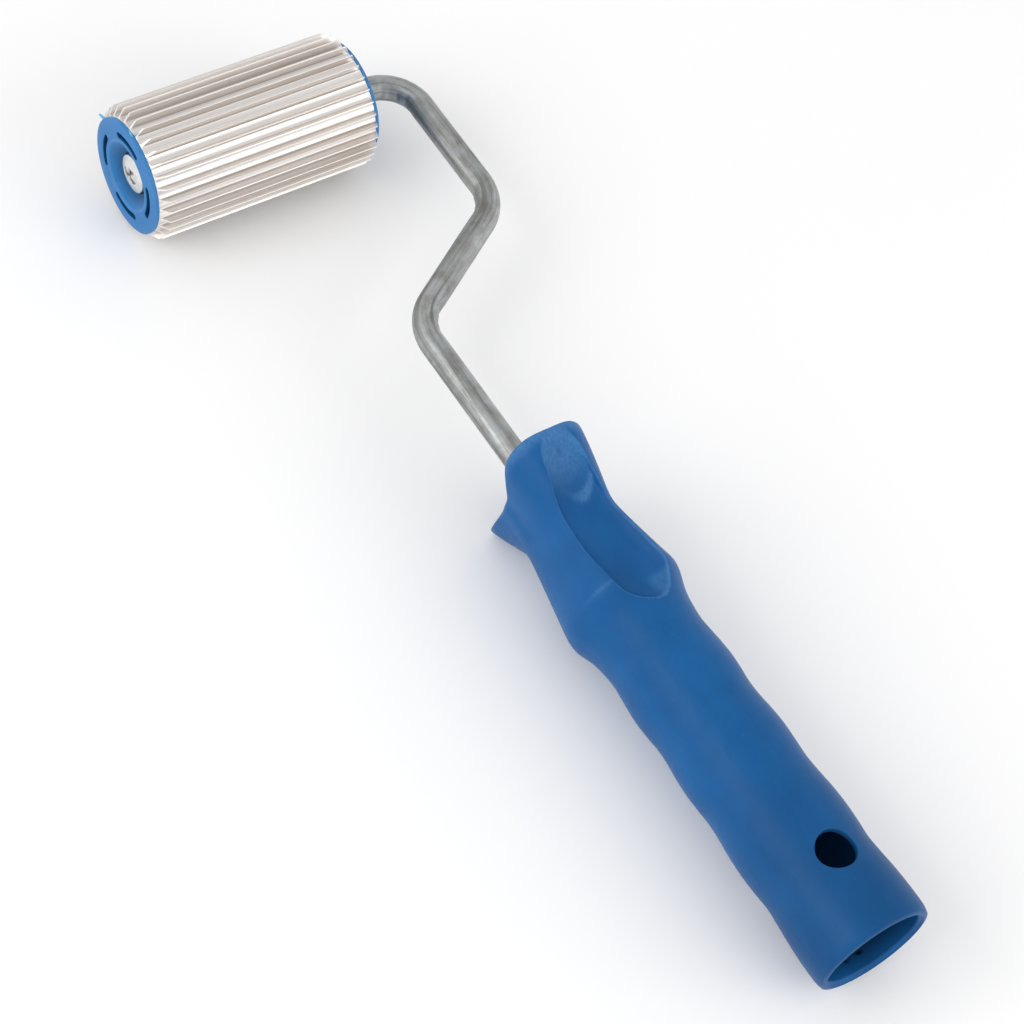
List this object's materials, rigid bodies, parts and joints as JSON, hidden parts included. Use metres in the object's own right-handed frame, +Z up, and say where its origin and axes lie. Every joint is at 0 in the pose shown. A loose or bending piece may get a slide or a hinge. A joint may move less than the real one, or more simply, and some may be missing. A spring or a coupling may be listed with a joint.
{
  "type": "seam roller",
  "caption": "Hand seam roller: finned aluminium roller turning on a cranked steel wire, with a moulded grip that has a thumb rest, hang hole and pole socket.",
  "frame": {"origin": "centre of the bounding box in X and Y, at its lowest point", "axes": "+Z up with the wire frame lying flat and the thumb scoop on top, +Y from the handle towards the roller, +X towards the crank of the wire; the roller's free end is at -X"},
  "size_m": [0.0953, 0.3168, 0.0449],
  "materials": {
    "handle_blue": "satin moulded polypropylene",
    "cap_blue": "satin moulded plastic, lighter blue",
    "bare_aluminium": "bright extruded, machined ends",
    "zinc_steel": "zinc-plated, drawn wire"
  },
  "bodies": {
    "frame": {"handle_shell": "handle_blue", "frame_wire": "zinc_steel", "axle_push_cap": "zinc_steel", "inner_stop_ring": "zinc_steel", "outer_thrust_washer": "zinc_steel", "inner_thrust_washer": "zinc_steel"},
    "roller": {"ribbed_sleeve": "bare_aluminium", "outer_end_cap": "cap_blue", "inner_end_cap": "cap_blue"}
  },
  "joints": [
    {"name": "roller_spin", "type": "hinge", "parent": "frame", "child": "roller", "pos_m": [-0.0109, 0.1384, 0.02], "axis": [1, 0, 0], "continuous": true}
  ]
}
